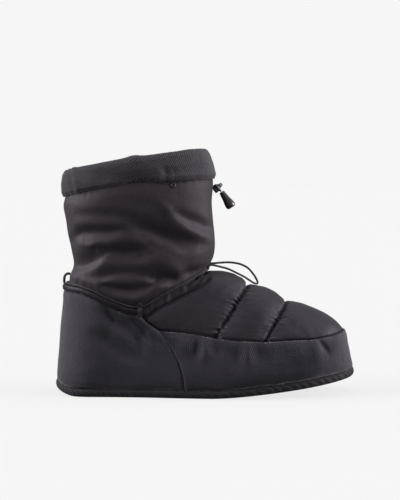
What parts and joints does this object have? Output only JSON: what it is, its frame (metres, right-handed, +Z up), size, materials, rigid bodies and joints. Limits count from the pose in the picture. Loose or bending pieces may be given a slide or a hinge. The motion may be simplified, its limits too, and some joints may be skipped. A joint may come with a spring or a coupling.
{
  "type": "dance warm-up bootie",
  "caption": "Padded slip-on dance warm-up bootie with a drawcord cuff, a cinched ankle cord, a quilted vamp and a flat sole with a rolled binding.",
  "frame": {"origin": "on the floor, under the middle of the bootie's bounding box, measured without the free cords and what hangs on them", "axes": "+X from the heel to the toe, +Y from the outer side of the foot to its inner side, +Z up"},
  "size_m": [0.2856, 0.1032, 0.2323],
  "materials": {
    "satin_nylon": "black nylon with a soft satin sheen",
    "matte_twill": "matte black ripstop cloth",
    "cuff_cloth": "matte charcoal twill with a fine diagonal rib",
    "binding_cloth": "black woven tape",
    "elastic_cord": "thin black braided elastic cord",
    "lining_cloth": "soft black lining",
    "sole_rubber": "matte black",
    "black_plastic": "matte black",
    "grey_plastic": "matte grey",
    "gloss_black_plastic": "glossy black"
  },
  "bodies": {
    "root": {"upper": "satin_nylon", "outsole": "sole_rubber", "insole": "lining_cloth", "heel_counter": "matte_twill", "toe_rand": "matte_twill", "collar_strip": "satin_nylon", "sole_binding": "binding_cloth", "cuff": "cuff_cloth", "outer_keeper": "binding_cloth", "inner_keeper": "binding_cloth", "heel_loop": "elastic_cord", "ankle_cord": "elastic_cord", "eyelet": "black_plastic", "front_cord": "elastic_cord", "outer_collar_cord": "elastic_cord", "inner_collar_cord": "elastic_cord", "cord_lock": "black_plastic", "cord_lock_button": "grey_plastic", "cord_end": "gloss_black_plastic"}
  },
  "joints": []
}
